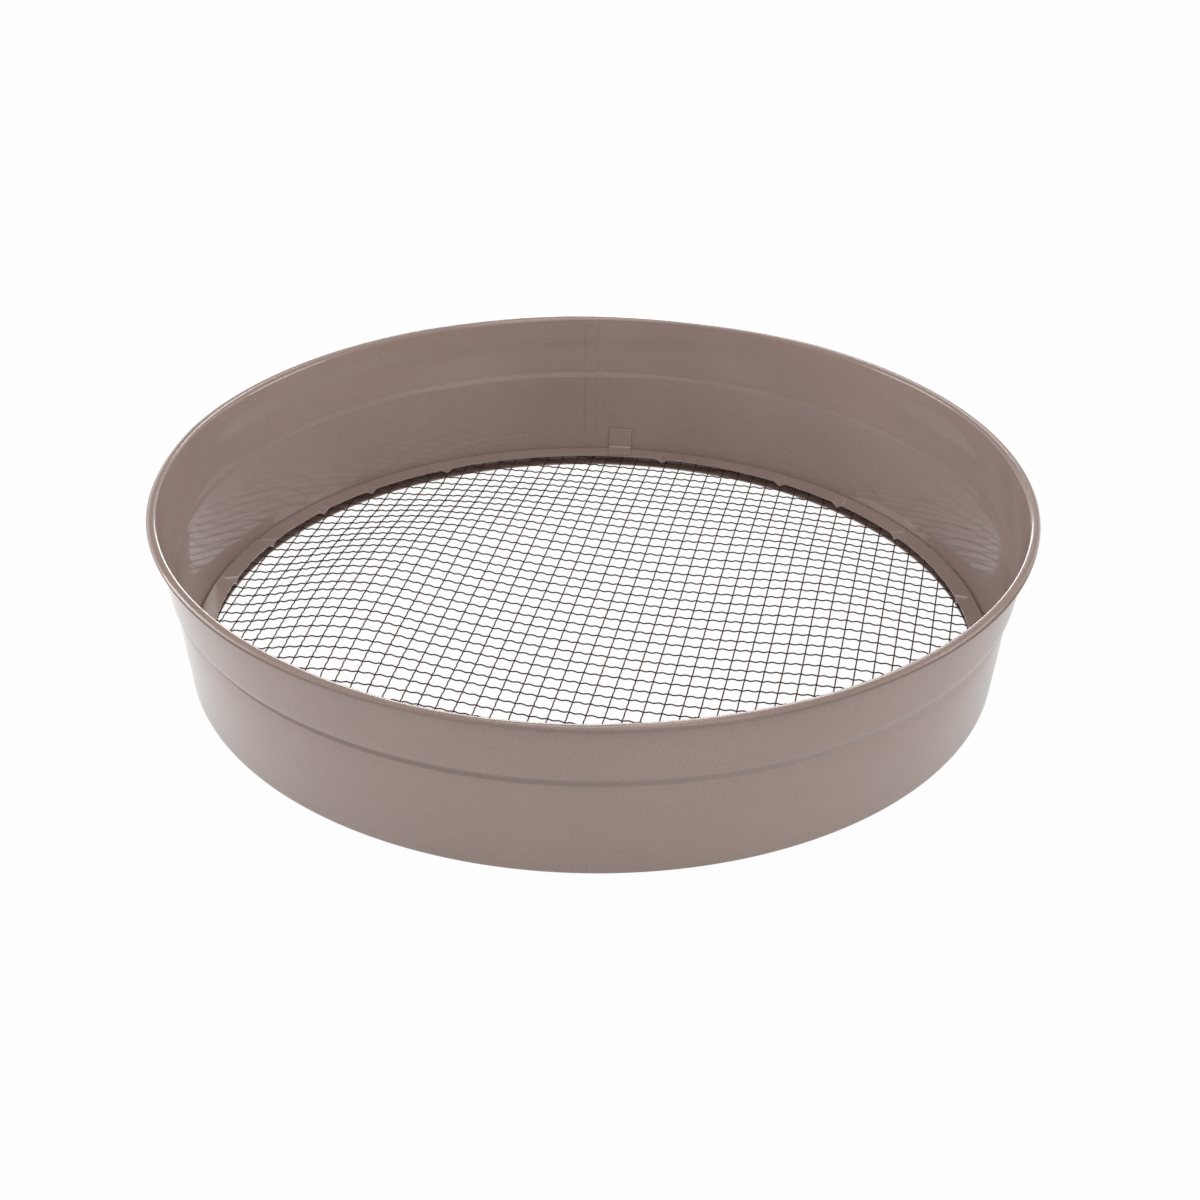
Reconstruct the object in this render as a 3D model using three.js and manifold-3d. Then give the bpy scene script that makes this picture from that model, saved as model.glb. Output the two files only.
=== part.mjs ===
// A round garden riddle: a tapered steel wall in two lapped halves with a rolled rim,
// and a woven wire mesh held on the wall's turned-in lip by a crimped ring and two clips.
// Millimetres, +Z up, origin on the ground under the middle of the base.

import * as THREE from 'three';
import { mergeVertices } from 'three/addons/utils/BufferGeometryUtils.js';
import Module from 'manifold-3d';

const wasm = await Module();
wasm.setup();

// Overall size
const RIM_DIAMETER = 368;
const OVERALL_HEIGHT = 73;
const BASE_DIAMETER = 343;

// Wall
const SHEET = 0.7;
const CURL_WIDTH = 4;
const CURL_HEIGHT = 3;
const CURL_SWEEP_DEG = 280;
const BEAD_CENTRE_HEIGHT = 44.2;
const BEAD_SPAN = 5;
const BEAD_STEP = 1.4;
const LIP_WIDTH = 7;
const FOLD_SIZE = 1.4;

// Lap seam between the two halves
const SEAM_GAP = 0.4;
const LAP_WIDTH = 5.2;
const LAP_ROOT = 5;
const LAP_ABOVE_CLIP = 2;
const LAP_BELOW_CURL = 3;

// Woven mesh
const WIRE_DIAMETER = 0.7;
const WIRE_PITCH = 7.45;
const MESH_TURN_DEG = -11.3;
const WARP_SHIFT = 3.8;
const WEFT_SHIFT = 1;
const EDGE_BAND_WIDTH = 4;

// Retaining ring
const RING_STRIP = 0.7;
const RING_WIDTH = 7.6;
const RING_DROP = 0.1;
const RING_TO_WALL = 0.8;
const CRIMP_DEPTH = 2.4;
const CRIMP_WIDTH = 6.4;
const HALF_TURN_CRIMPS_DEG = [8, 30, 44, 56, 78, 116.5, 131.5, 142, 155.5, 168.5];

// Clips that hold the ring down
const CLIP_STRIP = 0.7;
const CLIP_WIDTH = 11.4;
const CLIP_LEG = 10;
const CLIP_FOOT = 8;
const CLIP_FROM_SEAM = 13;

// Fit and fineness
const CLEARANCE = 0.3;
const TURN_STEPS = 72;
const CURL_STEPS = 8;
const BEAD_STEPS = 4;
const FOLD_STEPS = 2;
const WIRE_SIDES = 6;

// Radii and heights that follow from the driving dimensions
const rimRadius = RIM_DIAMETER / 2;
const baseRadius = BASE_DIAMETER / 2;
const curlMid = new THREE.Vector2(CURL_WIDTH - SHEET, CURL_HEIGHT - SHEET).divideScalar(2);
const curlCentre = new THREE.Vector2(rimRadius - CURL_WIDTH / 2, OVERALL_HEIGHT - CURL_HEIGHT / 2);
const wallFoot = baseRadius - SHEET / 2;
const wallHead = curlCentre.x - curlMid.x;
const taper = (wallHead - wallFoot - BEAD_STEP) / curlCentre.y;
const beadFoot = BEAD_CENTRE_HEIGHT - BEAD_SPAN / 2;
const lipEdge = baseRadius - LIP_WIDTH;
const facetSag = rimRadius * (1 - Math.cos(Math.PI / TURN_STEPS));

const weftBottom = SHEET + CLEARANCE;
const warpBottom = weftBottom + WIRE_DIAMETER + CLEARANCE;
const ringInnerBottom = warpBottom + WIRE_DIAMETER + CLEARANCE + CRIMP_DEPTH;
const ringInnerTop = ringInnerBottom + RING_STRIP;
const ringOuterTop = ringInnerTop + RING_DROP;
const ringOuterRadius = wallInner(ringOuterTop) - facetSag - RING_TO_WALL;
const ringInnerRadius = ringOuterRadius - RING_WIDTH;
const bandOuter = wallInner(warpBottom) - facetSag - CLEARANCE - SHEET;
const bandInner = bandOuter - EDGE_BAND_WIDTH;
const lapBottom = ringOuterTop + CLEARANCE + CLIP_STRIP + CLIP_LEG + LAP_ABOVE_CLIP;
const lapTop = OVERALL_HEIGHT - CURL_HEIGHT - LAP_BELOW_CURL;

// Share of the bead's step that the wall has made at a height, from 0 under the bead to 1 over it
function beadShare(z) {
  return THREE.MathUtils.smoothstep(z, beadFoot, beadFoot + BEAD_SPAN);
}

// Radius of the middle of the wall's sheet at a height
function wallMiddle(z) {
  return wallFoot + taper * z + BEAD_STEP * beadShare(z);
}

// Radius of the wall's inner face at a height
function wallInner(z) {
  return wallMiddle(z) - SHEET / 2;
}

// Heights at which the bead's curve is drawn
function beadHeights() {
  const heights = [];
  for (let i = 0; i <= BEAD_STEPS; i++) heights.push(beadFoot + (BEAD_SPAN * i) / BEAD_STEPS);
  return heights;
}

// Middle line of the wall's sheet as radius and height: lip, fold, cone, bead, cone and curl
function wallLine() {
  const foldStart = new THREE.Vector2(wallFoot - FOLD_SIZE, SHEET / 2);
  const foldCorner = new THREE.Vector2(wallMiddle(SHEET / 2), SHEET / 2);
  const foldTop = SHEET / 2 + FOLD_SIZE;
  const foldEnd = new THREE.Vector2(wallMiddle(foldTop), foldTop);
  const fold = new THREE.QuadraticBezierCurve(foldStart, foldCorner, foldEnd);
  const line = [new THREE.Vector2(lipEdge, SHEET / 2), ...fold.getPoints(FOLD_STEPS)];
  for (const z of beadHeights()) line.push(new THREE.Vector2(wallMiddle(z), z));
  for (let i = 0; i <= CURL_STEPS; i++) {
    const angle = Math.PI - THREE.MathUtils.degToRad((CURL_SWEEP_DEG * i) / CURL_STEPS);
    const reach = new THREE.Vector2(Math.cos(angle), Math.sin(angle)).multiply(curlMid);
    line.push(curlCentre.clone().add(reach));
  }
  return line;
}

// Gives a line a thickness: the outline runs along one side and back along the other
function thicken(line, thickness) {
  const right = [];
  const left = [];
  line.forEach((point, i) => {
    const before = line[Math.max(i - 1, 0)];
    const after = line[Math.min(i + 1, line.length - 1)];
    const along = after.clone().sub(before).normalize();
    const across = new THREE.Vector2(along.y, -along.x).multiplyScalar(thickness / 2);
    right.push(point.clone().add(across));
    left.unshift(point.clone().sub(across));
  });
  return [...right, ...left];
}

// Sweeps a counter-clockwise outline of radius and height about Z through a list of angles
function sweep(outlineAt, angles, closed) {
  const count = outlineAt(angles[0]).length;
  const positions = [];
  for (const angle of angles) {
    for (const point of outlineAt(angle)) {
      positions.push(point.x * Math.cos(angle), point.x * Math.sin(angle), point.y);
    }
  }
  const faces = [];
  const spans = closed ? angles.length : angles.length - 1;
  for (let i = 0; i < spans; i++) {
    const here = i * count;
    const next = ((i + 1) % angles.length) * count;
    for (let j = 0; j < count; j++) {
      const k = (j + 1) % count;
      faces.push(here + j, next + j, next + k, here + j, next + k, here + k);
    }
  }
  if (!closed) {
    const last = (angles.length - 1) * count;
    for (const [a, b, c] of THREE.ShapeUtils.triangulateShape(outlineAt(angles[0]), [])) {
      faces.push(a, b, c, last + a, last + c, last + b);
    }
  }
  const geometry = new THREE.BufferGeometry();
  geometry.setAttribute('position', new THREE.Float32BufferAttribute(positions, 3));
  geometry.setIndex(faces);
  return geometry;
}

// Angles from one to another, with every whole facet edge between them
function facetAngles(from, to) {
  const step = (2 * Math.PI) / TURN_STEPS;
  const angles = [from];
  for (let i = Math.ceil(from / step); i * step < to; i++) {
    if (i * step > from) angles.push(i * step);
  }
  angles.push(to);
  return angles;
}

// A closed geometry as a solid that can be joined
function toSolid(geometry) {
  const bare = geometry.clone();
  bare.deleteAttribute('normal');
  bare.deleteAttribute('uv');
  const merged = mergeVertices(bare, 1e-5);
  const vertProperties = new Float32Array(merged.attributes.position.array);
  const triVerts = new Uint32Array(merged.index.array);
  return new wasm.Manifold(new wasm.Mesh({ numProp: 3, vertProperties, triVerts }));
}

// Joins closed geometries into one body
function join(geometries) {
  const whole = geometries.map(toSolid).reduce((sum, solid) => sum.add(solid));
  const { vertProperties, triVerts } = whole.getMesh();
  const geometry = new THREE.BufferGeometry();
  geometry.setAttribute('position', new THREE.BufferAttribute(vertProperties, 3));
  geometry.setIndex(new THREE.BufferAttribute(triVerts, 1));
  return geometry;
}

// A strip on the inside of the wall, between two distances from the wall's inner face
function innerStrip(near, far) {
  const heights = [lapBottom, ...beadHeights(), lapTop];
  const outer = heights.map((z) => new THREE.Vector2(wallInner(z) - near, z));
  const inner = heights.map((z) => new THREE.Vector2(wallInner(z) - far, z));
  return [...outer, ...inner.reverse()];
}

// One half of the wall, on the +X side, with its tongue past the end on +Y
function wallHalf() {
  const seam = SEAM_GAP / 2 / rimRadius;
  const from = -Math.PI / 2 + seam;
  const to = Math.PI / 2 - seam;
  const root = to - LAP_ROOT / rimRadius;
  const tip = to + LAP_WIDTH / rimRadius;
  const lapNear = facetSag + CLEARANCE;
  const lapFar = lapNear + SHEET;
  const shell = thicken(wallLine(), SHEET);
  const joggle = innerStrip(-SHEET / 2, lapFar);
  const tongue = innerStrip(lapNear, lapFar);
  return join([
    sweep(() => shell, facetAngles(from, to), false),
    sweep(() => joggle, [root, to], false),
    sweep(() => tongue, [root, to, tip], false),
  ]);
}

// One set of parallel wires along Y, joined by a thin band that the ring covers
function wireSet(shift) {
  const bandMiddle = (bandInner + bandOuter) / 2;
  const bandHalf = WIRE_DIAMETER / 4;
  const band = [
    new THREE.Vector2(bandInner, -bandHalf),
    new THREE.Vector2(bandOuter, -bandHalf),
    new THREE.Vector2(bandOuter, bandHalf),
    new THREE.Vector2(bandInner, bandHalf),
  ];
  const pieces = [sweep(() => band, facetAngles(0, 2 * Math.PI).slice(0, -1), true)];
  const reach = bandInner - WIRE_DIAMETER;
  const first = Math.ceil((-reach - shift) / WIRE_PITCH);
  for (let i = first; shift + i * WIRE_PITCH <= reach; i++) {
    const x = shift + i * WIRE_PITCH;
    const length = 2 * Math.sqrt(bandMiddle ** 2 - x ** 2);
    const wire = new THREE.CylinderGeometry(WIRE_DIAMETER / 2, WIRE_DIAMETER / 2, length, WIRE_SIDES);
    pieces.push(wire.translate(x, 0, 0));
  }
  return join(pieces);
}

// The ring: a flat strip that slopes down to its inner edge, pinched down to the mesh at each crimp
function retainingRing() {
  const halfCrimp = CRIMP_WIDTH / 2 / ringInnerRadius;
  const backCrimps = HALF_TURN_CRIMPS_DEG.map(THREE.MathUtils.degToRad);
  const crimps = [...backCrimps, ...backCrimps.map((angle) => angle + Math.PI)];
  const crimpGap = (angle) => Math.min(...crimps.map((middle) => Math.abs(angle - middle)));
  const clearOfCrimps = (angle) => crimpGap(angle) > 2 * halfCrimp;
  const angles = facetAngles(0, 2 * Math.PI).slice(0, -1).filter(clearOfCrimps);
  for (const middle of crimps) angles.push(middle - halfCrimp, middle, middle + halfCrimp);
  angles.sort((a, b) => a - b);
  const outlineAt = (angle) => {
    const dip = CRIMP_DEPTH * Math.max(0, 1 - crimpGap(angle) / halfCrimp);
    return [
      new THREE.Vector2(ringInnerRadius, ringInnerBottom - dip),
      new THREE.Vector2(ringOuterRadius, ringOuterTop - RING_STRIP),
      new THREE.Vector2(ringOuterRadius, ringOuterTop),
      new THREE.Vector2(ringInnerRadius, ringInnerTop - dip),
    ];
  };
  return sweep(outlineAt, angles, true);
}

// An L clip: its leg stands against the wall and its foot lies along the ring
function clip() {
  const cornerReach = CLIP_WIDTH ** 2 / (8 * ringInnerRadius);
  const backOff = facetSag + CLEARANCE + cornerReach;
  const ringTopAt = (r) => ringOuterTop - (RING_DROP * (ringOuterRadius - r)) / RING_WIDTH;
  const heel = ringOuterTop + CLEARANCE;
  const bend = heel + CLIP_STRIP;
  const top = bend + CLIP_LEG;
  const heelBack = wallInner(heel) - backOff;
  const toe = heelBack - CLIP_FOOT;
  const toeBottom = ringTopAt(toe) + CLEARANCE;
  const outline = new THREE.Shape([
    new THREE.Vector2(toe, toeBottom),
    new THREE.Vector2(heelBack, heel),
    new THREE.Vector2(wallInner(top) - backOff, top),
    new THREE.Vector2(wallInner(top) - backOff - CLIP_STRIP, top),
    new THREE.Vector2(wallInner(bend) - backOff - CLIP_STRIP, bend),
    new THREE.Vector2(toe, toeBottom + CLIP_STRIP),
  ]);
  const strip = new THREE.ExtrudeGeometry(outline, { depth: CLIP_WIDTH, bevelEnabled: false });
  return strip.rotateX(Math.PI / 2).translate(0, CLIP_WIDTH / 2, 0);
}

const wallPaint = { color: 0x917c73, roughness: 0.36, metalness: 0.1 };
const ringPaint = { color: 0x958178, roughness: 0.4, metalness: 0.1 };
const wirePaint = { color: 0x6c5952, roughness: 0.45, metalness: 0.2 };

const riddle = new THREE.Group();

function add(parent, name, geometry, finish) {
  const mesh = new THREE.Mesh(geometry, new THREE.MeshStandardMaterial(finish));
  mesh.name = name;
  parent.add(mesh);
  return mesh;
}

// Two equal halves, the second turned half way round
add(riddle, 'wall_right_half', wallHalf(), wallPaint);
add(riddle, 'wall_left_half', wallHalf(), wallPaint).rotation.z = Math.PI;

// The mesh lies on the lip, turned a little about Z, with its weft under its warp
const mesh = new THREE.Group();
mesh.rotation.z = THREE.MathUtils.degToRad(MESH_TURN_DEG);
riddle.add(mesh);
const weft = add(mesh, 'mesh_weft_wires', wireSet(WEFT_SHIFT), wirePaint);
weft.position.z = weftBottom + WIRE_DIAMETER / 2;
weft.rotation.z = Math.PI / 2;
const warp = add(mesh, 'mesh_warp_wires', wireSet(WARP_SHIFT), wirePaint);
warp.position.z = warpBottom + WIRE_DIAMETER / 2;

add(riddle, 'mesh_retaining_ring', retainingRing(), ringPaint);

// One clip beside each seam, half a turn apart
const clipTurn = Math.PI / 2 - CLIP_FROM_SEAM / ringOuterRadius;
add(riddle, 'retaining_clip_back', clip(), ringPaint).rotation.z = clipTurn;
add(riddle, 'retaining_clip_front', clip(), ringPaint).rotation.z = clipTurn + Math.PI;

export default riddle;
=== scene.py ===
# %% [markdown]
# A garden riddle in painted steel.
# The real object is a round sieve for soil: two half bands of pressed sheet with a rolled rim, a woven
# wire mesh at their foot, a flat ring that clamps the mesh, and two small clips that hold the ring down.
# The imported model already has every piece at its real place, so this lesson loads it as a fixed frame
# and dresses each piece with a finer surface. The riddle's own lengths are in millimetres, as a tinsmith
# would write them, and turned into metres only when they reach Blender. The room, the lamps and the camera
# are in metres from the start.

# %% Load the frame and measure it
import math

import bpy
import numpy as np
from mathutils import Matrix, Vector


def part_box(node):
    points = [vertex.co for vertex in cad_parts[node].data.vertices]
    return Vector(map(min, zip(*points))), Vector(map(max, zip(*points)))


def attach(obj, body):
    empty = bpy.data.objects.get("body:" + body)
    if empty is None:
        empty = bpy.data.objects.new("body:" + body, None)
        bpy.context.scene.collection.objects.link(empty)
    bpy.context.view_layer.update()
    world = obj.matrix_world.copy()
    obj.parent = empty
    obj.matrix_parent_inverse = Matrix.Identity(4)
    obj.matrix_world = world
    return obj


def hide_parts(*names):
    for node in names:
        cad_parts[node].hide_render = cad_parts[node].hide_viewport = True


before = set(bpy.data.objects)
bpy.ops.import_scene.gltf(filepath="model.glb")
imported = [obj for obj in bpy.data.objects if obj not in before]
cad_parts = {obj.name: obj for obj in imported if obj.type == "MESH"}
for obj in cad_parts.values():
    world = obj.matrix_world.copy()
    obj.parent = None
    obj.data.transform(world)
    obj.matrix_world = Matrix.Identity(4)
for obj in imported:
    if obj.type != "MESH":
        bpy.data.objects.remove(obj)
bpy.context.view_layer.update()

MM = 0.001
wall_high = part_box("wall_right_half")[1]
ring_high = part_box("mesh_retaining_ring")[1]
RIM_RADIUS = wall_high[0] / MM
OVERALL_HEIGHT = wall_high[2] / MM
RING_OUTER_RADIUS = ring_high[0] / MM
RING_TOP = ring_high[2] / MM
print("rim radius %.2f mm, height %.2f mm" % (RIM_RADIUS, OVERALL_HEIGHT))
print("ring outer radius %.2f mm, ring top %.2f mm" % (RING_OUTER_RADIUS, RING_TOP))

# %% [markdown]
# A finish in Blender is a tree of small nodes, each of which works out one thing. They can be drawn by hand
# in the shader editor, but the finishes here share most of theirs, so a few helpers make the nodes instead.
# A value given to a helper is either plain numbers or a socket of another node.

# %% Helpers for nodes
def feed(tree, socket, value):
    """Gives a socket its value: a link where the value is another socket, or else plain numbers."""
    if isinstance(value, bpy.types.NodeSocket):
        tree.links.new(value, socket)
    else:
        socket.default_value = value


def add_node(tree, kind, values):
    """A new node with some of its sockets fed."""
    node = tree.nodes.new(kind)
    for socket, value in values.items():
        feed(tree, node.inputs[socket], value)
    return node


def mix_colours(tree, factor, first, second, blend="MIX"):
    """Two colours mixed by a factor."""
    node = tree.nodes.new("ShaderNodeMix")
    node.data_type = "RGBA"
    node.blend_type = blend
    for socket, value in ((0, factor), (6, first), (7, second)):
        feed(tree, node.inputs[socket], value)
    return node.outputs[2]


def map_range(tree, value, ends, new_ends):
    """A value moved from one range to another, and kept inside it."""
    limits = dict(enumerate((value, *ends, *new_ends)))
    return add_node(tree, "ShaderNodeMapRange", limits).outputs[0]


def noise(tree, place, scale, detail, roughness=0.5):
    """A cloudy noise at a place."""
    values = {"Vector": place, "Scale": scale, "Detail": detail, "Roughness": roughness}
    return add_node(tree, "ShaderNodeTexNoise", values).outputs["Fac"]


print("node helpers ready")

# %% [markdown]
# The finish is a taupe stove enamel, half gloss. One flat colour would look like plastic, so the colour
# drifts a little in soft clouds with a fine speckle, the gloss drifts with it, and two very shallow bumps
# give the slow waves of the sheet and the orange peel that sprayed enamel dries with. Convex edges are a
# shade paler, partly because paint draws back from an edge and partly as a painted highlight, and recesses
# are darker with painted shade.
# Everything is procedural and reads object coordinates, so it sits still from any side.

# %% Enamel as a material
NOISE_ENDS = (0.3, 0.7)
CLOUD_SCALE = 16.0
CLOUD_DETAIL = 4.0
CLOUD_ROUGHNESS = 0.55
CLOUD_SHARE = 0.05
SPECKLE_SCALE = 1500.0
SPECKLE_DETAIL = 2.0
SPECKLE_SHARE = 0.10
# Edge lightening is partly thin paint and partly a painted highlight; recess darkening is painted shade.
EDGE_POINTINESS = (0.56, 0.68)
THIN_PAINT_AND_HIGHLIGHT_SHARE = 0.15
THIN_PAINT_AND_HIGHLIGHT_LIGHTNESS = 1.5
RECESS_POINTINESS = (0.44, 0.49)
RECESS_PAINTED_SHADE_SHARE = 0.5
RECESS_PAINTED_SHADE = 0.5
SATIN_DRIFT = 0.04
DENT_SCALE = 110.0
DENT_DEPTH = 0.10
PEEL_SCALE = 700.0
PEEL_DEPTH = 0.04
RELIEF_DETAIL = 1.0
PAINT_IOR = 1.5
COAT_ROUGHNESS = 0.08


def shade(colour, factor):
    """A colour made lighter or darker by one factor."""
    return tuple(channel * factor for channel in colour) + (1.0,)


def about(middle, share):
    """The two ends of a range about its middle."""
    return middle - share, middle + share


def enamel_colour(tree, place, cloud, colour):
    """Enamel colour: clouds, speckle, paler edges (thin paint, painted highlight), painted shade in
    recesses.
    """
    drift = map_range(tree, cloud, NOISE_ENDS, (0.0, 1.0))
    darker, lighter = [shade(colour, factor) for factor in about(1.0, CLOUD_SHARE)]
    clouded = mix_colours(tree, drift, darker, lighter)
    speckle = noise(tree, place, SPECKLE_SCALE, SPECKLE_DETAIL)
    grain = map_range(tree, speckle, NOISE_ENDS, about(1.0, SPECKLE_SHARE))
    grained = mix_colours(tree, 1.0, clouded, grain, "MULTIPLY")
    bent = tree.nodes.new("ShaderNodeNewGeometry").outputs["Pointiness"]
    # Paler edges: thin paint and, in part, a painted highlight.
    edge = map_range(tree, bent, EDGE_POINTINESS, (0.0, THIN_PAINT_AND_HIGHLIGHT_SHARE))
    edged = mix_colours(tree, edge, grained, shade(colour, THIN_PAINT_AND_HIGHLIGHT_LIGHTNESS))
    # Darker recesses: painted shade.
    painted_recess_shade = map_range(tree, bent, RECESS_POINTINESS, (RECESS_PAINTED_SHADE_SHARE, 0.0))
    return mix_colours(tree, painted_recess_shade, edged, shade(colour, RECESS_PAINTED_SHADE))


def enamel_relief(tree, place, strength):
    """The surface of enamel: slow waves of the sheet, with orange peel over them."""
    dent = noise(tree, place, DENT_SCALE, RELIEF_DETAIL)
    dimple = noise(tree, place, PEEL_SCALE, RELIEF_DETAIL)
    waves = {"Strength": strength, "Distance": DENT_DEPTH * MM, "Height": dent}
    waved = add_node(tree, "ShaderNodeBump", waves).outputs["Normal"]
    peel = {"Strength": strength, "Distance": PEEL_DEPTH * MM, "Height": dimple, "Normal": waved}
    return add_node(tree, "ShaderNodeBump", peel).outputs["Normal"]


def enamel(name, colour, roughness, gloss, coat, relief):
    """Sprayed enamel on steel."""
    material = bpy.data.materials.new(name)
    material.use_nodes = True
    tree = material.node_tree
    place = tree.nodes.new("ShaderNodeTexCoord").outputs["Object"]
    cloud = noise(tree, place, CLOUD_SCALE, CLOUD_DETAIL, CLOUD_ROUGHNESS)
    paint = {
        "Base Color": enamel_colour(tree, place, cloud, colour),
        "Roughness": map_range(tree, cloud, NOISE_ENDS, about(roughness, SATIN_DRIFT)),
        "Normal": enamel_relief(tree, place, relief),
        "IOR": PAINT_IOR,
        "Specular IOR Level": gloss,
        "Coat Weight": coat,
        "Coat Roughness": COAT_ROUGHNESS,
    }
    for socket, value in paint.items():
        feed(tree, tree.nodes["Principled BSDF"].inputs[socket], value)
    return material


wall_enamel = enamel("wall_enamel", (0.286, 0.203, 0.175), 0.42, 0.5, 1.0, 0.25)
ring_enamel = enamel("ring_enamel", (0.300, 0.218, 0.188), 0.38, 0.5, 0.7, 0.30)
# The wires' colour is painted far darker than their taupe enamel, as painted shade.
shaded_wire_enamel = enamel("shaded_wire_enamel", (0.085, 0.038, 0.024), 0.55, 0.15, 0.0, 0.30)
print("enamels:", wall_enamel.name, ring_enamel.name, shaded_wire_enamel.name)

# %% [markdown]
# Most pieces here are strip or sheet bent round the same axis, so a few helpers make them: a line in radius
# and height is given the sheet's thickness, and the outline is swept through a list of angles. A lathe
# modifier could do the same for a plain ring, but a sweep of our own can also bend the sheet as it goes
# round, which the crimps and the seams need.

# %% Helpers for bent sheet
def thicken(line, thickness):
    """The outline of a sheet: along one side of its middle line and back along the other."""
    along = np.gradient(line, axis=0)
    along /= np.linalg.norm(along, axis=1)[:, None]
    across = np.column_stack((along[:, 1], -along[:, 0])) * thickness / 2.0
    return np.concatenate((line + across, (line - across)[::-1]))


def skin(rings, closed=False):
    """Vertices and faces of a skin over rings of points, with its two ends capped unless it is closed."""
    count = len(rings[0])
    faces = []
    for i in range(len(rings) if closed else len(rings) - 1):
        here = i * count
        beyond = (i + 1) % len(rings) * count
        for j in range(count):
            k = (j + 1) % count
            faces.append((here + j, beyond + j, beyond + k, here + k))
    if not closed:
        last = (len(rings) - 1) * count
        for j in range(count // 2 - 1):
            cap = (j, j + 1, count - 2 - j, count - 1 - j)
            faces.append(cap)
            faces.append(tuple(last + corner for corner in reversed(cap)))
    return np.concatenate(rings), faces


def turn_points(outline, angle):
    """An outline of radius and height, placed at one angle about Z."""
    radius, height = outline.T
    return np.column_stack((radius * math.cos(angle), radius * math.sin(angle), height))


def sweep(outline_at, angles, closed=False):
    """The skin of an outline swept about Z. outline_at gives the outline at an angle."""
    return skin([turn_points(outline_at(angle), angle) for angle in angles], closed)


print("sheet helpers ready")

# %% [markdown]
# Each piece joins the frame in the same way: it takes the place of one of the imported nodes, rides on the
# body that carried it and gets its paint. Shading is smooth up to the angle of a fold, so that a bend
# looks round and a cut edge stays crisp.

# %% Helpers for pieces
SMOOTH_UP_TO = math.radians(38.0)


def dress(piece, slot, *nodes):
    """Puts a piece in the scene, in place of the frame's nodes."""
    bpy.context.collection.objects.link(piece)
    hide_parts(*nodes)
    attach(piece, "root")


def make_piece(name, shell, paint, slot, *nodes):
    """A mesh piece from vertices in millimetres."""
    vertices, faces = shell
    mesh = bpy.data.meshes.new(name)
    mesh.from_pydata((vertices * MM).tolist(), [], faces)
    mesh.shade_smooth()
    mesh.set_sharp_from_angle(angle=SMOOTH_UP_TO)
    mesh.materials.append(paint)
    dress(bpy.data.objects.new(name, mesh), slot, *nodes)
    print("%s: %d faces" % (name, len(faces)))


print("piece helpers ready")

# %% [markdown]
# The wall is one sheet, 0.7 mm thick. From the inside outwards its section is a flat lip that carries the
# mesh, a tight fold, a tapered side, a stepped bead that stiffens it, more tapered side and the rolled rim.
# The rim is a true curl, wider than it is high, with its raw edge tucked under, so the shadow line below it
# is partly real, and painted shade darkens it further. The bead is crisp on the outside, where the die met
# the sheet, and on the inside a soft swell with a faint crease.

# %% Section of the wall
SHEET = 0.7
BASE_DIAMETER = 343.0
CURL_SIZE = np.array((4.0, 3.0))
CURL_SWEEP = math.radians(280.0)
CURL_ROWS = 34
BEAD_CENTRE_HEIGHT = 44.2
BEAD_SPAN = 3.4
BEAD_STEP = 1.7
BEAD_ROWS = 18
GROOVE_DEPTH = 0.4
GROOVE_SPAN = 3.4
GROOVE_RUN = 6.0
GROOVE_ROWS = 10
SWELL_CENTRE_HEIGHT = 50.0
SWELL_SPAN = 22.0
CREASE_DEPTH = 0.22
CREASE_SPAN = 2.4
LIP_WIDTH = 7.0
LIP_ROWS = 8
FOLD_SIZE = 1.4
FOLD_ROWS = 8
SIDE_ROWS = 14

curl_reach = (CURL_SIZE - SHEET) / 2.0
curl_centre = np.array((RIM_RADIUS, OVERALL_HEIGHT)) - CURL_SIZE / 2.0
wall_foot = (BASE_DIAMETER - SHEET) / 2.0
wall_head = curl_centre[0] - curl_reach[0]
taper = (wall_head - wall_foot - BEAD_STEP) / curl_centre[1]
bead_foot = BEAD_CENTRE_HEIGHT - BEAD_SPAN / 2.0
bead_top = bead_foot + BEAD_SPAN


def ease(value, low, high):
    """A smooth step from 0 at low to 1 at high."""
    share = np.clip((value - low) / (high - low), 0.0, 1.0)
    return share * share * (3.0 - 2.0 * share)


def outer_bead(height):
    """The bead as the outside shows it: a crisp ramp with a slight groove at its foot."""
    ramp = np.clip((height - bead_foot) / BEAD_SPAN, 0.0, 1.0)
    groove = GROOVE_DEPTH * np.exp(-(((height - bead_foot) / GROOVE_SPAN) ** 2))
    return BEAD_STEP * ramp - groove


def inner_bead(height):
    """The bead as the inside shows it: the same step as a soft swell, with a faint crease in it."""
    half_span = SWELL_SPAN / 2.0
    swell = ease(height, SWELL_CENTRE_HEIGHT - half_span, SWELL_CENTRE_HEIGHT + half_span)
    crease_foot = BEAD_CENTRE_HEIGHT - CREASE_SPAN / 2.0
    crease = np.clip((height - crease_foot) / CREASE_SPAN, 0.0, 1.0)
    return (BEAD_STEP - CREASE_DEPTH) * swell + CREASE_DEPTH * crease


def wall_middle(height):
    """Radius of the middle of the wall's sheet at a height."""
    return wall_foot + taper * height + outer_bead(height)


def wall_inner(height):
    """Radius of the wall's inner face at a height."""
    return wall_foot + taper * height + inner_bead(height) - SHEET / 2.0


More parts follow.
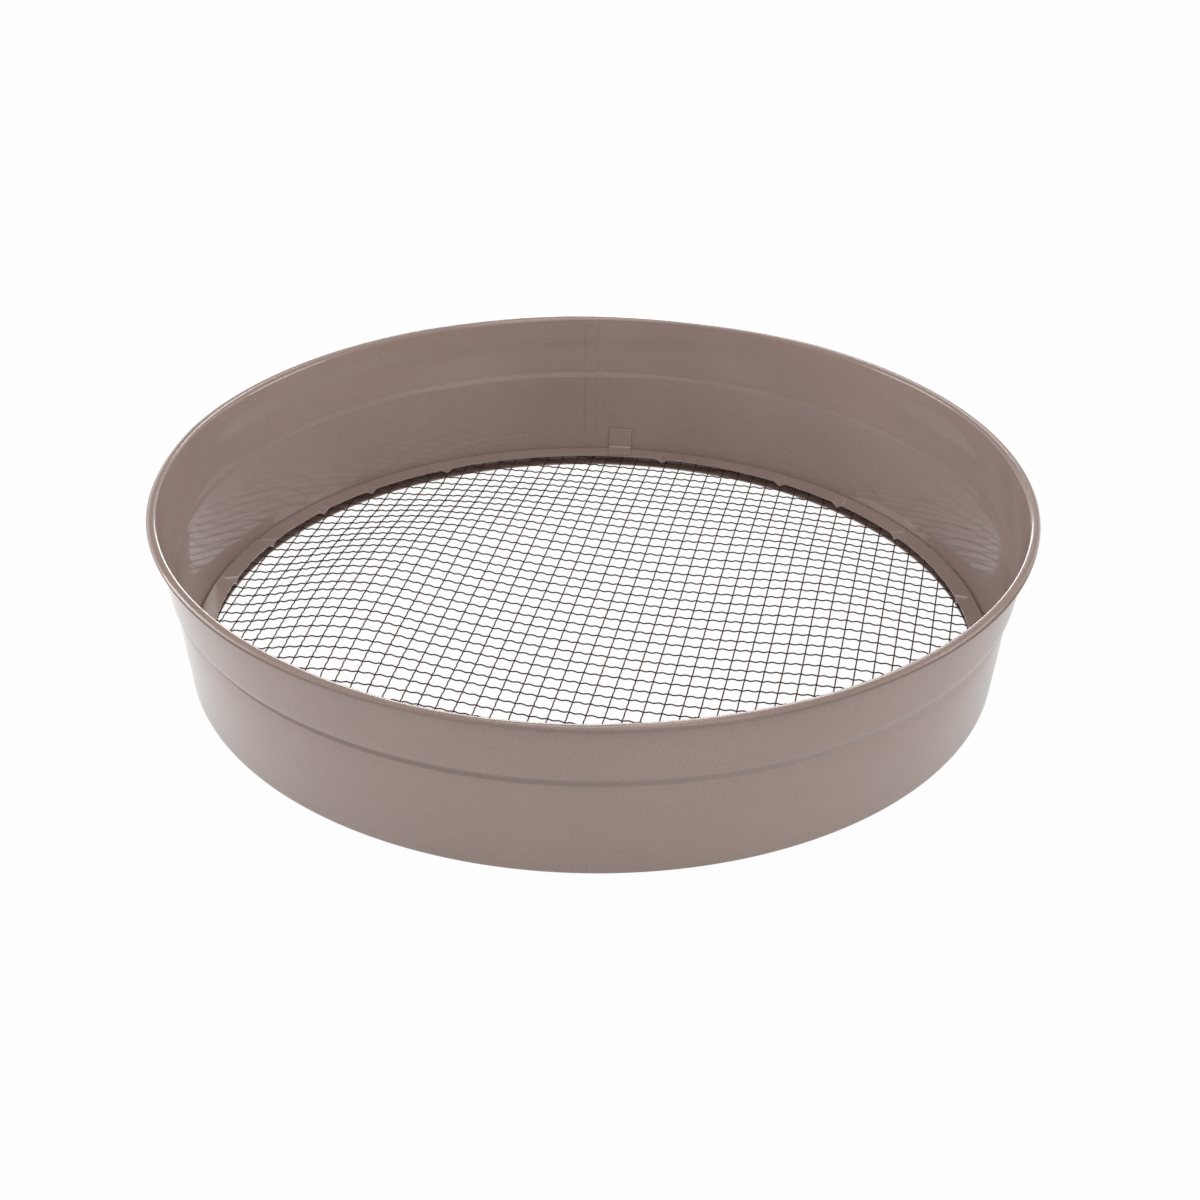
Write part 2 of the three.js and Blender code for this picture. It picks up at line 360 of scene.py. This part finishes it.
def wall_outline():
    """Outline of the wall's sheet: lip, fold, side with the bead, and curl."""
    floor_level = SHEET / 2.0
    lip = np.linspace(BASE_DIAMETER / 2.0 - LIP_WIDTH, wall_foot - FOLD_SIZE, LIP_ROWS)[:-1]
    flat = np.column_stack((lip, np.full(len(lip), floor_level)))
    share = np.linspace(0.0, 1.0, FOLD_ROWS)[:, None]
    start = np.array((wall_foot - FOLD_SIZE, floor_level))
    corner = np.array((wall_middle(floor_level), floor_level))
    end = np.array((wall_middle(floor_level + FOLD_SIZE), floor_level + FOLD_SIZE))
    fold = (1 - share) ** 2 * start + 2 * share * (1 - share) * corner + share**2 * end
    groove_start = bead_foot - GROOVE_RUN
    heights = np.concatenate((
        np.linspace(end[1], groove_start, SIDE_ROWS)[1:-1],
        np.linspace(groove_start, bead_foot, GROOVE_ROWS)[:-1],
        np.linspace(bead_foot, bead_top, BEAD_ROWS),
        np.linspace(bead_top, curl_centre[1], SIDE_ROWS)[1:-1],
    ))
    side = np.column_stack((wall_middle(heights), heights))
    inner_side = np.column_stack((wall_inner(heights), heights))
    angles = math.pi - np.linspace(0.0, CURL_SWEEP, CURL_ROWS)
    curl = curl_centre + curl_reach * np.column_stack((np.cos(angles), np.sin(angles)))
    outline = thicken(np.concatenate((flat, fold, side, curl)), SHEET)
    inner_start = len(outline) // 2 + len(curl)
    outline[inner_start:inner_start + len(side)] = inner_side[::-1]
    return outline


wall_section = wall_outline()
print("wall section: %d points" % len(wall_section))

# %% [markdown]
# Shade is painted on the outside of the wall: a little on the bead's ramp and more under the curl of the
# rim. It darkens the paint and takes its shine. It could be painted on by hand, but a mask that is worked
# out needs no image: it is made of bands of height, and the sign of place times normal tells the outside
# of a round wall from its inside.

# %% Painted shade on the bead and under the curl
# These levels paint shade on the outside, along the bead's ramp and under the curl.
PAINTED_SHADE_COLOUR = (0.62, 0.60, 0.59, 1.0)
SHADE_FADE = 0.8
SHADE_BAND_ROUGHNESS = 0.4
OUTSIDE_FADE = 20.0
BEAD_SHADE_ENDS = (-140.0, 80.0)
BEAD_SHADE_LEVELS = (0.75, 0.1)
CURL_SHADE_ENDS = (50.0, 150.0)
CURL_SHADE_LEVELS = (0.5, 1.0)
CURL_SHADE_DEPTH = 2.4


def in_metres(*lengths):
    """Lengths in millimetres, in the metres that the nodes work in."""
    return tuple(length * MM for length in lengths)


def calculate(tree, operation, *values):
    """The number that a node works out from its values."""
    node = tree.nodes.new("ShaderNodeMath")
    node.operation = operation
    for socket, value in zip(node.inputs, values):
        feed(tree, socket, value)
    return node.outputs[0]


def calculate_vector(tree, operation, output, *values):
    """The same for vectors: output says which of the node's results is wanted."""
    node = tree.nodes.new("ShaderNodeVectorMath")
    node.operation = operation
    for socket, value in zip(node.inputs, values):
        feed(tree, socket, value)
    return node.outputs[output]


def height_band(tree, height, low, high, level):
    """A mask of one level between two heights in millimetres, which fades out just past them."""
    rise = map_range(tree, height, in_metres(low - SHADE_FADE, low), (0.0, 1.0))
    fall = map_range(tree, height, in_metres(high, high + SHADE_FADE), (1.0, 0.0))
    return calculate(tree, "MULTIPLY", calculate(tree, "MULTIPLY", rise, fall), level)


def painted_shade_mask(tree):
    """Where shade is painted: on the bead, less towards the right, and under the curl, more at the sides."""
    place = tree.nodes.new("ShaderNodeTexCoord").outputs["Object"]
    parts = add_node(tree, "ShaderNodeSeparateXYZ", {0: place})
    across = parts.outputs["X"]
    height = parts.outputs["Z"]
    bead_level = map_range(tree, across, in_metres(*BEAD_SHADE_ENDS), BEAD_SHADE_LEVELS)
    on_bead = height_band(tree, height, bead_foot, bead_top, bead_level)
    aside = calculate(tree, "ABSOLUTE", across)
    curl_level = map_range(tree, aside, in_metres(*CURL_SHADE_ENDS), CURL_SHADE_LEVELS)
    under_curl = height_band(tree, height, curl_centre[1] - CURL_SHADE_DEPTH, curl_centre[1], curl_level)
    normal = tree.nodes.new("ShaderNodeNewGeometry").outputs["Normal"]
    facing = calculate_vector(tree, "DOT_PRODUCT", "Value", place, normal)
    outside = map_range(tree, facing, in_metres(0.0, OUTSIDE_FADE), (0.0, 1.0))
    return calculate(tree, "MULTIPLY", calculate(tree, "MAXIMUM", on_bead, under_curl), outside)


def paint_shade_on_wall(material):
    """Paints shade on a wall's paint, which makes it darker and rougher and takes its coat."""
    tree = material.node_tree
    paint = tree.nodes["Principled BSDF"].inputs
    painted_shade = painted_shade_mask(tree)
    unshaded = paint["Base Color"].links[0].from_socket
    shaded_colour = mix_colours(tree, 1.0, unshaded, PAINTED_SHADE_COLOUR, "MULTIPLY")
    feed(tree, paint["Base Color"], mix_colours(tree, painted_shade, unshaded, shaded_colour))
    coat = paint["Coat Weight"].default_value
    feed(tree, paint["Coat Weight"], map_range(tree, painted_shade, (0.0, 1.0), (coat, 0.0)))
    satin = paint["Roughness"].links[0].from_socket
    dull = map_range(tree, painted_shade, (0.0, 1.0), (0.0, SHADE_BAND_ROUGHNESS))
    feed(tree, paint["Roughness"], calculate(tree, "ADD", satin, dull))


# Painted shade on the bead's ramp and under the curl, with less shine there.
paint_shade_on_wall(wall_enamel)
print("dust on the bead from %.1f to %.1f mm and under the curl" % (bead_foot, bead_top))

# %% [markdown]
# Hand tools never leave a perfect cone, so the sheet carries slow waves of about a tenth of a millimetre,
# the curl rocks a little as it goes round, and the rim sinks where the halves meet at the front. A displace
# modifier could add such waves, but here they are sums of sines that every outline passes through, so the
# seams still meet. They move the highlights, not the size.

# %% Waves of the sheet
FULL_TURN = 2.0 * math.pi
FRONT_SEAM = -math.pi / 2.0
BACK_SEAM = math.pi / 2.0
LAP_BOTTOM = 8.0
WAVE_DEPTH = 0.12
SHEET_WAVES = ((5.0, 0.4, 1.0), (11.0, 1.9, 0.6))
SLANT_RISE = 7.0
SLANT_COUNT = 3.0
STIFF_FOOT = 2.0
LOOSE_FROM = 20.0
LOOSE_TO = 60.0
RIM_SAG = 0.6
RIM_SAG_REACH = 30.0
CURL_ROCK = 0.26
ROCK_WAVES = ((3.0, 0.8, 1.0), (7.0, 2.0, 0.7))


def turn_from(middle, angle):
    """How far an angle has turned from another, up to half a turn either way."""
    return (angle - middle + math.pi) % FULL_TURN - math.pi


def add_waves(waves, angle):
    """A sum of waves round the wall, each with its count, its phase and its share."""
    return sum(share * math.sin(count * angle + phase) for count, phase, share in waves)


def bend_wall(outline, angle):
    """The sheet's slow waves, the rim's sag at the front seam and the curl's rock, on an outline."""
    bent = outline.copy()
    height = outline[:, 1]
    loose = ease(height, STIFF_FOOT, LOOSE_FROM) * (1.0 - ease(height, LOOSE_TO, OVERALL_HEIGHT))
    slanted = np.sin(height / SLANT_RISE + SLANT_COUNT * angle)
    bent[:, 0] += WAVE_DEPTH * loose * (add_waves(SHEET_WAVES, angle) + slanted)
    sag = RIM_SAG * math.exp(-abs(turn_from(FRONT_SEAM, angle)) * RIM_RADIUS / RIM_SAG_REACH)
    bent[:, 1] -= sag * ease(height, LAP_BOTTOM, OVERALL_HEIGHT)
    in_curl = ease(height, curl_centre[1] - CURL_SIZE[1], curl_centre[1])
    rock = CURL_ROCK * add_waves(ROCK_WAVES, angle)
    from_middle = (outline[:, 0] - curl_centre[0]) / curl_reach[0]
    bent[:, 1] += in_curl * (rock * from_middle - abs(rock))
    return bent


front_rim = bend_wall(wall_section, FRONT_SEAM)[:, 1].max()
print("the rim is %.2f mm high at the front seam" % front_rim)

# %% [markdown]
# Each half band ends in a tongue that is set inwards by a sheet's thickness and slides behind the other
# half, where it is welded. The joggle and the tongue follow the wall's own section, bead included. One
# closed band with a groove would show the same line from outside, but not the step inside.

# %% Two halves of the wall
SEAM_GAP = 0.02
SEAM_EDGE = 0.4
HALF_STEPS = 360
LAP_WIDTH = 5.2
LAP_ROOT = 6.0
LAP_CLEARANCE = 0.03
LAP_PLATE = 0.3
LAP_TO_CURL = 1.0
LAP_SIDE_ROWS = 8
LAP_BEAD_ROWS = 14
LAP_STEPS = 24
JOGGLE_LENGTH = 2.5

lap_top = OVERALL_HEIGHT - CURL_SIZE[1] - LAP_TO_CURL


def tongue_shell(seam):
    """The lap's joggle and tongue, past the seam at the end of a half."""
    heights = np.concatenate((
        np.linspace(LAP_BOTTOM, bead_foot, LAP_SIDE_ROWS)[:-1],
        np.linspace(bead_foot, bead_top, LAP_BEAD_ROWS),
        np.linspace(bead_top, lap_top, LAP_SIDE_ROWS)[1:],
    ))
    line = np.column_stack((wall_inner(heights) + SHEET / 2.0, heights))
    outline = thicken(line, LAP_PLATE)
    begin = seam - LAP_ROOT / RIM_RADIUS
    angles = np.linspace(begin, seam + LAP_WIDTH / RIM_RADIUS, LAP_STEPS)

    def outline_at(angle):
        past = (angle - seam) * RIM_RADIUS
        set_in = ((SHEET + LAP_PLATE) / 2.0 + LAP_CLEARANCE) * ease(past, -JOGGLE_LENGTH, 0.0)
        return bend_wall(outline - np.array((set_in, 0.0)), angle)

    return sweep(outline_at, angles)


def join_shells(*shells):
    """Several sets of vertices and faces as one."""
    vertices = []
    faces = []
    start = 0
    for points, shell_faces in shells:
        vertices.append(points)
        faces += [tuple(start + corner for corner in face) for face in shell_faces]
        start += len(points)
    return np.concatenate(vertices), faces


def wall_half(start, end):
    """One half band between two seams, with its tongue past the end."""
    gap = SEAM_GAP / 2.0 / RIM_RADIUS
    edge = SEAM_EDGE / RIM_RADIUS
    angles = np.linspace(start + gap + edge, end - gap - edge, HALF_STEPS)
    angles = np.concatenate(([start + gap], angles, [end - gap]))
    band = sweep(lambda angle: bend_wall(wall_section, angle), angles)
    return join_shells(band, tongue_shell(end - gap))


right_half = wall_half(FRONT_SEAM, BACK_SEAM)
left_half = wall_half(BACK_SEAM, FRONT_SEAM + FULL_TURN)
make_piece("pressed_wall_right", right_half, wall_enamel, "wall_paint", "wall_right_half")
make_piece("pressed_wall_left", left_half, wall_enamel, "wall_paint", "wall_left_half")

# %% [markdown]
# The ring is a flat strip that lies on the mesh just inside the wall, with a narrow gap to it that shows as
# a dark line. Its inner edge is pinched down onto the wires in V crimps, wide at the inner edge and running
# out before the outer one. They show bright in the light. They could be sculpted, but a dip that is worked
# out from radius and angle gives the same fold at each place.

# %% Retaining ring with its crimps
RING_STRIP = 0.7
RING_TO_WALL = 0.8
RING_WIDTH = 7.6
RING_DROP = 0.1
RING_ROWS = 14
RING_STEPS = 1440
CRIMP_DEPTH = 2.1
CRIMP_HALF_WIDTH = 3.2
CRIMP_RUN = 6.6
CRIMPS_DEG = (8.0, 30.0, 44.0, 56.0, 78.0, 116.5, 131.5, 142.0, 155.5, 168.5)
LEAST_WIDTH = 1e-6

ring_edge = wall_inner(RING_TOP) - RING_TO_WALL
ring_inner_radius = ring_edge - RING_WIDTH
ring_radii = np.linspace(ring_inner_radius, ring_edge, RING_ROWS)
crimp_angles = [math.radians(degrees + turn) for turn in (0.0, 180.0) for degrees in CRIMPS_DEG]


def crimp_dip(radius, angle):
    """How far the ring is pinched down at a place: a V that narrows as it runs outwards."""
    run = np.clip((ring_inner_radius + CRIMP_RUN - radius) / CRIMP_RUN, 0.0, 1.0)
    nearest = min(abs(turn_from(middle, angle)) for middle in crimp_angles)
    aside = nearest * radius / np.clip(CRIMP_HALF_WIDTH * run, LEAST_WIDTH, None)
    return CRIMP_DEPTH * run * np.clip(1.0 - aside, 0.0, 1.0)


def ring_outline(angle):
    """The ring's outline at an angle, with any crimp there."""
    flat = RING_TOP - RING_STRIP / 2.0 - RING_DROP * (ring_edge - ring_radii) / RING_WIDTH
    return thicken(np.column_stack((ring_radii, flat - crimp_dip(ring_radii, angle))), RING_STRIP)


ring_angles = np.linspace(0.0, FULL_TURN, RING_STEPS, endpoint=False)
ring_shell = sweep(ring_outline, ring_angles, closed=True)
make_piece("crimped_ring", ring_shell, ring_enamel, "ring_paint", "mesh_retaining_ring")

# %% [markdown]
# A clip is a short L of the same strip: its leg is welded to the wall and its foot presses on the ring.
# It is made flat in its own frame and turned to its place, with a real bend radius at the heel and the
# corners of the strip softened, so that each edge catches a thin light as the real one does. A bevel
# modifier could soften them too, but two thinner slices at the sides do it with fewer faces.

# %% Clips beside the seams
CLIP_STRIP = 0.7
CLIP_WIDTH = 11.4
CLIP_LEG = 10.0
CLIP_FOOT = 8.0
CLIP_BEND = 1.1
CLIP_EDGE = 0.12
CLIP_LIFT = 0.15
CLIP_TO_WALL = 0.05
CLIP_FROM_SEAM = 13.0
CLIP_ROWS = 8


def clip_line(heel_radius):
    """Middle line of a clip: toe, foot, bend and leg, in radius and height."""
    toe = heel_radius - CLIP_FOOT
    slope = RING_DROP / RING_WIDTH
    heel_height = RING_TOP + (CLIP_STRIP / 2.0 + CLIP_LIFT)
    foot_radii = np.linspace(toe, heel_radius - CLIP_BEND, CLIP_ROWS)
    foot = np.column_stack((foot_radii, heel_height - slope * (heel_radius - foot_radii)))
    swing = np.linspace(-math.pi / 2.0, 0.0, CLIP_ROWS)[1:]
    pivot = np.array((heel_radius - CLIP_BEND, heel_height + CLIP_BEND))
    bend = pivot + CLIP_BEND * np.column_stack((np.cos(swing), np.sin(swing)))
    leg_heights = np.linspace(bend[-1, 1], heel_height + CLIP_LEG, CLIP_ROWS)[1:]
    leg_radii = heel_radius + taper * (leg_heights - bend[-1, 1])
    return np.concatenate((foot, bend, np.column_stack((leg_radii, leg_heights))))


def clip_shell():
    """A clip along X: its outline in radius and height, carried across its width with softened edges."""
    corner_sag = CLIP_WIDTH**2 / (8.0 * RIM_RADIUS)
    heel_radius = wall_inner(RING_TOP) - CLIP_STRIP / 2.0 - corner_sag - CLIP_TO_WALL
    line = clip_line(heel_radius)
    half = CLIP_WIDTH / 2.0
    slices = ((-half, CLIP_EDGE), (-half + CLIP_EDGE, 0.0), (half - CLIP_EDGE, 0.0), (half, CLIP_EDGE))
    rings = []
    for across, inset in slices:
        radius, height = thicken(line, CLIP_STRIP - 2.0 * inset).T
        rings.append(np.column_stack((radius, np.full(len(radius), across), height)))
    return skin(rings)


def turn_shell(shell, angle):
    """A shell turned about Z."""
    vertices, faces = shell
    turn = np.array(Matrix.Rotation(angle, 3, "Z"))
    return vertices @ turn.T, faces


clip_turn = BACK_SEAM - CLIP_FROM_SEAM / RING_OUTER_RADIUS
back_clip = turn_shell(clip_shell(), clip_turn)
front_clip = turn_shell(clip_shell(), clip_turn + math.pi)
make_piece("bent_clip_back", back_clip, ring_enamel, "ring_paint", "retaining_clip_back")
make_piece("bent_clip_front", front_clip, ring_enamel, "ring_paint", "retaining_clip_front")

# %% [markdown]
# The mesh was cut by hand and clamped only at its edge, so it is not flat: it lies low along the middle and
# stands a few millimetres higher towards the sides, which is what bends its rows in the view. A cloth
# simulation could find such a shape, but a formula for its height keeps it the same on each run.

# %% Dish of the mesh
MESH_EDGE = 2.8
MESH_RISE = 0.7
TROUGH = 24.5
SIDE_TILT = -5.7
BACK_TILT = 4.7
CLAMP_RADIUS = 162.0
CLAMP_REACH = 80.0


def mesh_height(x, y):
    """Height of the mesh's middle plane: flat under the ring, a shallow trough inside it."""
    free = ease(CLAMP_RADIUS - np.hypot(x, y), 0.0, CLAMP_REACH)
    across = x / RIM_RADIUS
    along = y / RIM_RADIUS
    bow = MESH_RISE + TROUGH * across**2 + SIDE_TILT * across + BACK_TILT * along
    return MESH_EDGE + free * bow


print("the mesh is %.1f mm high in the middle and %.1f mm at its edge" % (mesh_height(0.0, 0.0), MESH_EDGE))

# %% [markdown]
# The mesh is crimped wire, woven over and under at a pitch of about 7.4 mm, so the gap is close to a quarter
# inch. Each wire is one curve with a round bevel, which stays light and keeps its section round at every
# bend. A tiled texture on a plane would be lighter still, but it would have no thickness from the side.

# %% Woven wires
WIRE_DIAMETER = 0.60
WIRE_PITCH = 7.431
MESH_TURN = math.radians(-11.27)
WARP_SHIFT = 4.08
WEFT_SHIFT = -0.64
WARP_WAVE = 0.28
WEFT_WAVE = 0.24
HALF_WAVES_PER_PITCH = 3
POINTS_PER_PITCH = 12
WIRE_END_RADIUS = 168.0
LAST_WIRE_REACH = 164.7
WANDER = 0.22
WANDER_RUN = 31.0
chance = np.random.default_rng(7)


def wire_points(index, shift, other_shift, wave, runs_along_x):
    """The path of one wire, which waves over and under the wires that it crosses and strays a little."""
    offset = shift + index * WIRE_PITCH
    half = math.sqrt(WIRE_END_RADIUS**2 - offset**2)
    step = WIRE_PITCH / POINTS_PER_PITCH
    nearest = math.ceil((-half - other_shift) / step)
    run = np.arange(other_shift + nearest * step, half, step)
    strays = chance.uniform(-WANDER, WANDER, 2)
    aside = offset + strays[0] + strays[1] * np.sin(run / WANDER_RUN + index)
    side = 1.0 if index % 2 == 0 else -1.0
    weave = side * wave * np.cos(HALF_WAVES_PER_PITCH * math.pi * (run - other_shift) / WIRE_PITCH)
    along, across = (run, aside) if runs_along_x else (aside, run)
    x = along * math.cos(MESH_TURN) - across * math.sin(MESH_TURN)
    y = along * math.sin(MESH_TURN) + across * math.cos(MESH_TURN)
    return np.column_stack((x, y, mesh_height(x, y) + weave))


def wire_set(name, shift, other_shift, wave, runs_along_x):
    """All wires one way."""
    curve = bpy.data.curves.new(name, "CURVE")
    curve.dimensions = "3D"
    curve.bevel_depth = WIRE_DIAMETER / 2.0 * MM
    curve.bevel_resolution = 1
    curve.use_fill_caps = True
    first = math.ceil((-LAST_WIRE_REACH - shift) / WIRE_PITCH)
    last = math.floor((LAST_WIRE_REACH - shift) / WIRE_PITCH)
    for index in range(first, last + 1):
        path = wire_points(index, shift, other_shift, wave, runs_along_x) * MM
        spline = curve.splines.new("POLY")
        spline.points.add(len(path) - 1)
        spline.points.foreach_set("co", np.column_stack((path, np.ones(len(path)))).ravel())
    curve.materials.append(shaded_wire_enamel)
    print("%s: %d wires" % (name, last - first + 1))
    return bpy.data.objects.new(name, curve)


warp = wire_set("woven_warp", WARP_SHIFT, WEFT_SHIFT, WARP_WAVE, False)
weft = wire_set("woven_weft", WEFT_SHIFT, WARP_SHIFT, -WEFT_WAVE, True)
dress(warp, "wire_paint", "mesh_warp_wires")
dress(weft, "wire_paint", "mesh_weft_wires")

# %% [markdown]
# The riddle stands on a plain white floor. What the camera sees of it is white at a strength of 1, through
# the Light Path node, so the background stays white without more light on the paint, and a share of the
# floor's own shading is kept for a soft shadow. Brighter lamps would whiten the floor too, but they would
# bleach the enamel. In the gloss the floor carries painted light and shade: it is a little dimmer to the
# right, with a painted shadow at the foot and painted shade inside.

# %% Floor
WHITE = (1.0, 1.0, 1.0, 1.0)
FLOOR_SIZE = 8.0
FLOOR_DROP = 0.3 * MM
FLOOR_GLOW = 0.975
FLOOR_SHADE = 0.57
# In the gloss the floor carries painted light to the left and a painted shadow at the foot and inside.
GLOSS_ENDS = (-200.0, 200.0)
GLOSS_ACROSS = (1.0, 0.75)
FOOT_REACH = 14.0
FOOT_SHADOW_IN_GLOSS = 0.85
INSIDE_SHADE_IN_GLOSS = 0.8


def seen_directly(tree, in_camera, in_gloss):
    """A share for rays from the camera, another for gloss and glass, and 0 for the rays that only light."""
    path = tree.nodes.new("ShaderNodeLightPath")
    total = calculate(tree, "MULTIPLY", path.outputs["Is Camera Ray"], in_camera)
    for kind in ("Is Glossy Ray", "Is Transmission Ray"):
        share = calculate(tree, "MULTIPLY", path.outputs[kind], in_gloss)
        total = calculate(tree, "MAXIMUM", total, share)
    return total


def mix_shaders(tree, share, first, second):
    """Two shaders mixed by a share of the second."""
    return add_node(tree, "ShaderNodeMixShader", {0: share, 1: first, 2: second}).outputs[0]


def floor_in_gloss(tree):
    """The floor's white in the gloss: painted light to the left, a painted shadow at the foot and inside."""
    place = tree.nodes.new("ShaderNodeNewGeometry").outputs["Position"]
    parts = add_node(tree, "ShaderNodeSeparateXYZ", {0: place})
    across = map_range(tree, parts.outputs["X"], in_metres(*GLOSS_ENDS), GLOSS_ACROSS)
    flat = calculate_vector(tree, "MULTIPLY", "Vector", place, (1.0, 1.0, 0.0))
    from_axis = calculate_vector(tree, "LENGTH", "Value", flat)
    from_foot = calculate(tree, "SUBTRACT", from_axis, BASE_DIAMETER / 2.0 * MM)
    away = calculate(tree, "ABSOLUTE", from_foot)
    # Painted shadow at the foot and painted shade inside it, seen only in reflections.
    clear = map_range(tree, away, in_metres(0.0, FOOT_REACH), (FOOT_SHADOW_IN_GLOSS, 1.0))
    outside = map_range(tree, from_foot, in_metres(-FOOT_REACH, 0.0), (INSIDE_SHADE_IN_GLOSS, 1.0))
    return calculate(tree, "MULTIPLY", across, calculate(tree, "MULTIPLY", clear, outside))


def white_floor():
    """A pale floor that reads as white and still takes the object's shadow."""
    material = bpy.data.materials.new("white_floor")
    material.use_nodes = True
    tree = material.node_tree
    tree.nodes.clear()
    path = tree.nodes.new("ShaderNodeLightPath")
    in_gloss = calculate(tree, "MULTIPLY", path.outputs["Is Glossy Ray"], floor_in_gloss(tree))
    level = calculate(tree, "MAXIMUM", path.outputs["Is Camera Ray"], in_gloss)
    matt = add_node(tree, "ShaderNodeBsdfDiffuse", {"Color": shade(WHITE[:3], FLOOR_SHADE)})
    glow = add_node(tree, "ShaderNodeEmission", {"Color": WHITE, "Strength": level})
    share = seen_directly(tree, FLOOR_GLOW, 1.0)
    blend = mix_shaders(tree, share, matt.outputs[0], glow.outputs[0])
    add_node(tree, "ShaderNodeOutputMaterial", {0: blend})
    return material


half_floor = FLOOR_SIZE / 2.0
floor_signs = ((-1, -1), (1, -1), (1, 1), (-1, 1))
floor_corners = [(x * half_floor, y * half_floor, -FLOOR_DROP) for x, y in floor_signs]
floor_mesh = bpy.data.meshes.new("floor")
floor_mesh.from_pydata(floor_corners, [], [(0, 1, 2, 3)])
floor_mesh.materials.append(white_floor())
floor = bpy.data.objects.new("floor", floor_mesh)
bpy.context.collection.objects.link(floor)
print("floor %.0f m wide" % FLOOR_SIZE)

# %% [markdown]
# The room is an even white one, as a photographer's tent is, and the world gives it. The camera sees it at
# a strength of 1. The gloss sees a white horizon but a darker upper room, because satin paint that mirrored
# white from everywhere would look chalky, and less light falls from straight above.

# %% Room
ROOM_LIGHT = 1.0
ZENITH_SHARE = 0.2
ZENITH_FADE = (0.5, 0.95)
GLOSS_ZENITH = 0.15
GLOSS_FADE = (0.1, 0.4)

room = bpy.data.worlds.new("white_room")
room.use_nodes = True
bpy.context.scene.world = room
room_tree = room.node_tree
room_tree.nodes.clear()


def white_light(strength):
    """White from all of the room, at one strength."""
    return add_node(room_tree, "ShaderNodeBackground", {"Color": WHITE, "Strength": strength}).outputs[0]


ray = room_tree.nodes.new("ShaderNodeTexCoord").outputs["Generated"]
up = add_node(room_tree, "ShaderNodeSeparateXYZ", {0: ray}).outputs["Z"]
fill = white_light(map_range(room_tree, up, ZENITH_FADE, (ROOM_LIGHT, ROOM_LIGHT * ZENITH_SHARE)))
mirrored = white_light(map_range(room_tree, up, GLOSS_FADE, (1.0, GLOSS_ZENITH)))
with_gloss = mix_shaders(room_tree, seen_directly(room_tree, 0.0, 1.0), fill, mirrored)
with_camera = mix_shaders(room_tree, seen_directly(room_tree, 1.0, 0.0), with_gloss, white_light(1.0))
add_node(room_tree, "ShaderNodeOutputWorld", {0: with_camera})
print("the room is white, with less light from straight above")

# %% [markdown]
# Six soft lamps shape the room's light. The one over the camera evens out the inside of the wall, one at
# each side gives the pale flanks, the two behind give the thin lights along the rim and the crimps, and a
# weak one overhead lights the ring and the mesh. They are wide and near, as soft boxes in a studio are, so
# no shadow has a hard edge.

# %% Soft lamps
AIM = Vector((0.0, 0.0, 0.03))


def soft_lamp(name, place, size, watts):
    """A square lamp that looks at the riddle."""
    light = bpy.data.lights.new(name, "AREA")
    light.shape = "SQUARE"
    light.size = size
    light.energy = watts
    lamp = bpy.data.objects.new(name, light)
    lamp.location = place
    lamp.rotation_euler = (AIM - Vector(place)).to_track_quat("-Z", "Y").to_euler()
    bpy.context.collection.objects.link(lamp)


soft_lamp("top_box", (0.0, 0.15, 1.2), 0.45, 2.0)
soft_lamp("over_camera", (0.3, -1.4, 1.5), 1.6, 11.0)
soft_lamp("left_side", (-1.4, 0.3, 0.4), 0.8, 9.0)
soft_lamp("right_side", (1.6, 0.2, 0.4), 0.8, 8.5)
soft_lamp("behind", (0.3, 1.5, 1.3), 0.5, 4.0)
soft_lamp("behind_low", (-0.02, 1.6, 0.35), 0.4, 2.5)
print("six soft lamps")

# %% [markdown]
# The camera stands where the photograph was taken from: about 0.9 m away, looking down by 30 degrees with
# a slight roll. The place and the lens were solved from the ellipses of the rim and of the base.

# %% Camera
CAMERA_PLACE = Vector((0.0, -0.76608, 0.46081))
LENS = 61.5
SENSOR = 36.0
NEAREST = 0.01
LOOK_DOWN = math.radians(30.13)
LOOK_RIGHT = math.radians(0.235)
ROLL = math.radians(0.741)

lens = bpy.data.cameras.new("camera")
lens.lens = LENS
lens.sensor_width = SENSOR
lens.clip_start = NEAREST
camera = bpy.data.objects.new("camera", lens)
heading = Matrix.Rotation(-LOOK_RIGHT, 4, "Z")
pitch = Matrix.Rotation(math.pi / 2.0 - LOOK_DOWN, 4, "X")
roll = Matrix.Rotation(ROLL, 4, "Z")
camera.matrix_world = Matrix.Translation(CAMERA_PLACE) @ heading @ pitch @ roll
bpy.context.collection.objects.link(camera)
bpy.context.scene.camera = camera
bpy.context.scene.view_settings.view_transform = "Standard"
print("camera %.2f m from the middle" % CAMERA_PLACE.length)
